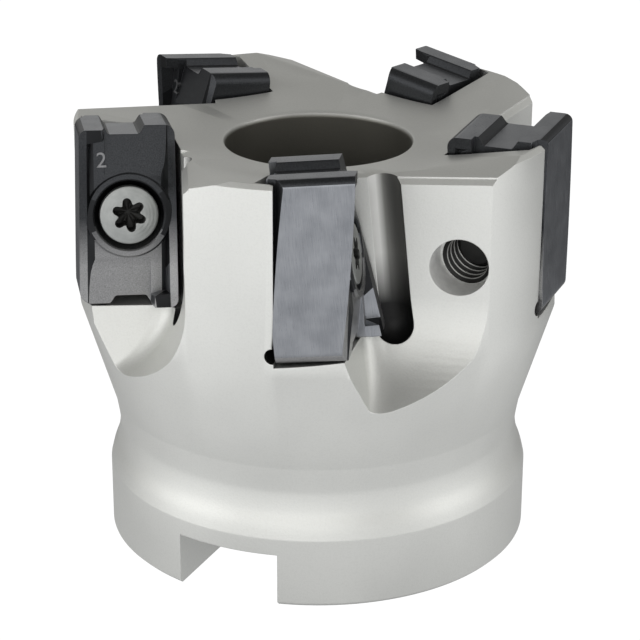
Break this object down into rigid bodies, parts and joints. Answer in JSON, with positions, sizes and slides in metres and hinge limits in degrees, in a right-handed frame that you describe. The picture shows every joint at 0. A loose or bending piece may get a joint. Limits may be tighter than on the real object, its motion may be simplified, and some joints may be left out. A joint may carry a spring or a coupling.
{
  "type": "shoulder face mill",
  "caption": "Satin nickel-plated shoulder face mill body with dark clamped carbide inserts, chip gullets, a through bore and a drive slot across its arbor face.",
  "frame": {"origin": "centre of the arbor face, on the spindle axis, with the back of the mill on z = 0", "axes": "+Z along the spindle axis from the arbor face towards the cutting end, -Y towards the side seen in the picture, +X to the right in it"},
  "size_m": [0.0485, 0.0488, 0.0445],
  "materials": {
    "nickel_steel": "satin nickel plating over fine machined steel",
    "coated_carbide": "dark coated carbide, ground flanks and a pressed rake face",
    "screw_steel": "satin steel"
  },
  "bodies": {
    "root": {"cutter_body": "nickel_steel", "insert_1": "coated_carbide", "insert_2": "coated_carbide", "insert_3": "coated_carbide", "insert_4": "coated_carbide", "insert_5": "coated_carbide", "insert_screw_1": "screw_steel", "insert_screw_2": "screw_steel", "insert_screw_3": "screw_steel", "insert_screw_4": "screw_steel", "insert_screw_5": "screw_steel"}
  },
  "joints": []
}
